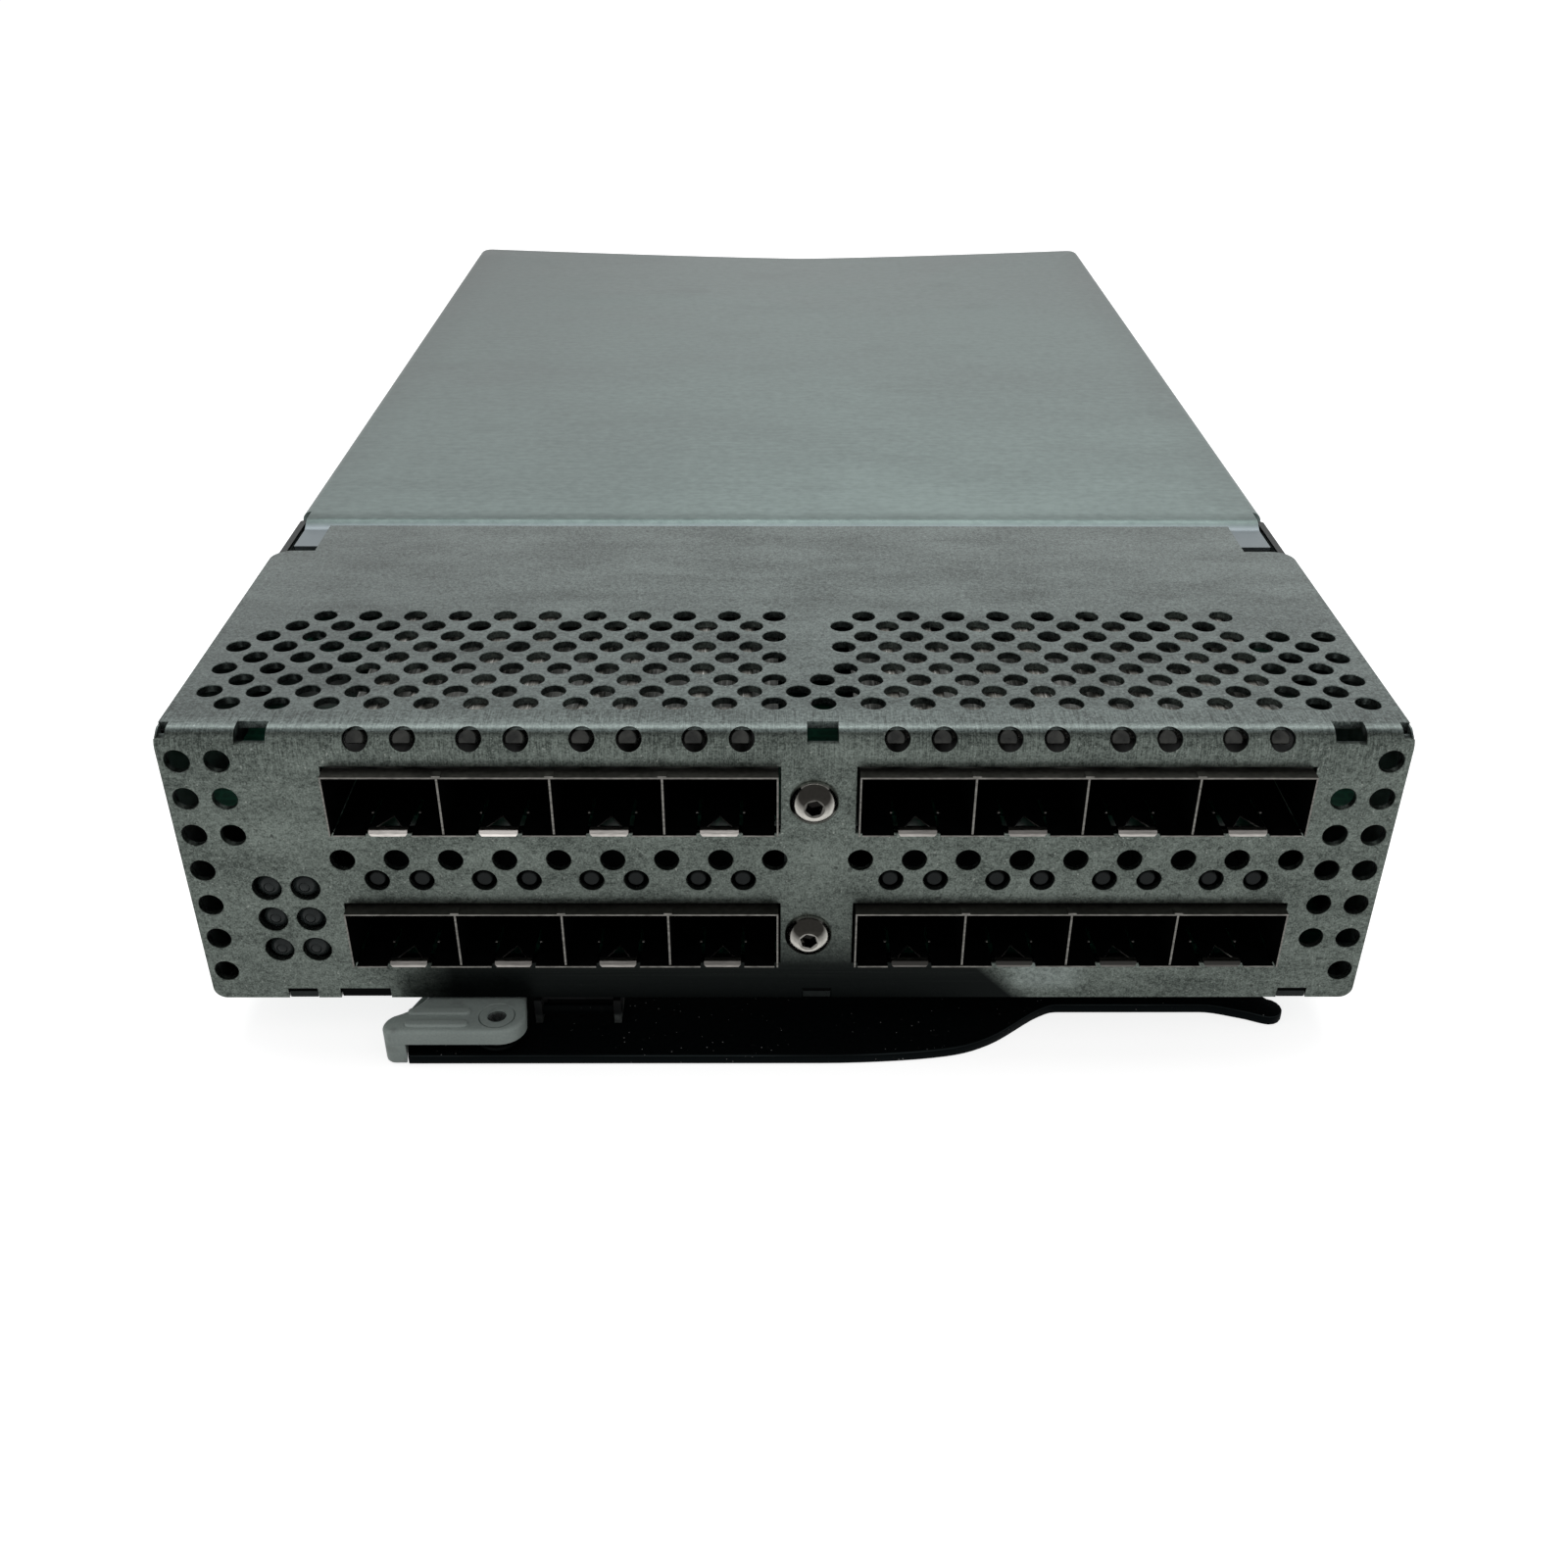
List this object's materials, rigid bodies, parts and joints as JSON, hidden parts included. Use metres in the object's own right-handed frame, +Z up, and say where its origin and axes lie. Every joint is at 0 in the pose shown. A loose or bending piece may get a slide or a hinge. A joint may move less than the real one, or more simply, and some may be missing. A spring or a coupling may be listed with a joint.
{
  "type": "switch line card",
  "caption": "Flat folded-steel network switch module with two rows of pluggable transceiver bays, a perforated hood and a swing-out ejector lever below its face.",
  "frame": {"origin": "centre of the bounding box's underside, level with the lever plate's lower face", "axes": "+Z up, +Y from the port face towards the backplane connectors, +X to the right seen from the ports"},
  "size_m": [0.159, 0.2646, 0.0491],
  "materials": {
    "galvanised_sheet": "spangled zinc coating",
    "zinc_cover_sheet": "smooth dull zinc coating",
    "cage_nickel": "dull nickel plate",
    "stainless": "polished stainless steel",
    "screw_steel": "plain zinc plate",
    "post_brass": "bright",
    "circuit_board": "solder mask",
    "connector_black": "moulded",
    "chip_black": "moulded",
    "heatsink_aluminium": "extruded",
    "light_pipe": "smoky clear moulding",
    "lever_black": "satin black coat",
    "grip_grey": "fine moulded"
  },
  "bodies": {
    "card": {"bottom_pan": "galvanised_sheet", "cage_base_lower_left": "cage_nickel", "cage_base_lower_right": "cage_nickel", "cage_base_upper_left": "cage_nickel", "cage_base_upper_right": "cage_nickel", "cage_cover_lower_left": "cage_nickel", "cage_cover_lower_right": "cage_nickel", "cage_cover_upper_left": "cage_nickel", "cage_cover_upper_right": "cage_nickel", "cage_dividers_lower_left": "cage_nickel", "cage_dividers_lower_right": "cage_nickel", "cage_dividers_upper_left": "cage_nickel", "cage_dividers_upper_right": "cage_nickel", "capacitors": "heatsink_aluminium", "catch_bracket": "galvanised_sheet", "catch_pin": "lever_black", "catch_rivets": "screw_steel", "centre_bracket": "galvanised_sheet", "cover_screws": "screw_steel", "front_shell": "galvanised_sheet", "guide_socket_left": "connector_black", "guide_socket_right": "connector_black", "heatsink": "heatsink_aluminium", "lever_rivet": "screw_steel", "lever_spacer": "screw_steel", "lever_washer": "connector_black", "light_pipes_lower_left": "light_pipe", "light_pipes_lower_right": "light_pipe", "light_pipes_upper_left": "light_pipe", "light_pipes_upper_right": "light_pipe", "link_plug": "connector_black", "link_socket": "connector_black", "main_board": "circuit_board", "main_board_screws": "screw_steel", "main_posts": "post_brass", "memory_chips": "chip_black", "panel_screws": "stainless", "port_connectors_lower_left": "connector_black", "port_connectors_lower_right": "connector_black", "port_connectors_upper_left": "connector_black", "port_connectors_upper_right": "connector_black", "power_connector": "connector_black", "power_modules": "chip_black", "press_nuts": "screw_steel", "processor_chip": "chip_black", "rear_cover": "zinc_cover_sheet", "signal_block_left": "connector_black", "signal_block_right": "connector_black", "status_light_pipes": "light_pipe", "switch_chip": "chip_black", "upper_board": "circuit_board", "upper_board_screws": "screw_steel", "upper_posts": "post_brass"},
    "lever_arm": {"lever": "lever_black", "grip_bush": "grip_grey", "grip_screw": "screw_steel", "latch_spring": "screw_steel"},
    "latch": {"grip": "grip_grey"}
  },
  "joints": [
    {"name": "lever_pivot", "type": "hinge", "parent": "card", "child": "lever_arm", "pos_m": [0.054, -0.11165, 0.0008], "axis": [0, 0, 1], "range_deg": [0, 70]},
    {"name": "latch_pivot", "type": "hinge", "parent": "lever_arm", "child": "latch", "pos_m": [-0.0398, -0.12895, 0.0044], "axis": [0, 0, 1], "range_deg": [0, 9], "stiffness_Nm_per_rad": 0.02, "springref_deg": -8.59}
  ]
}
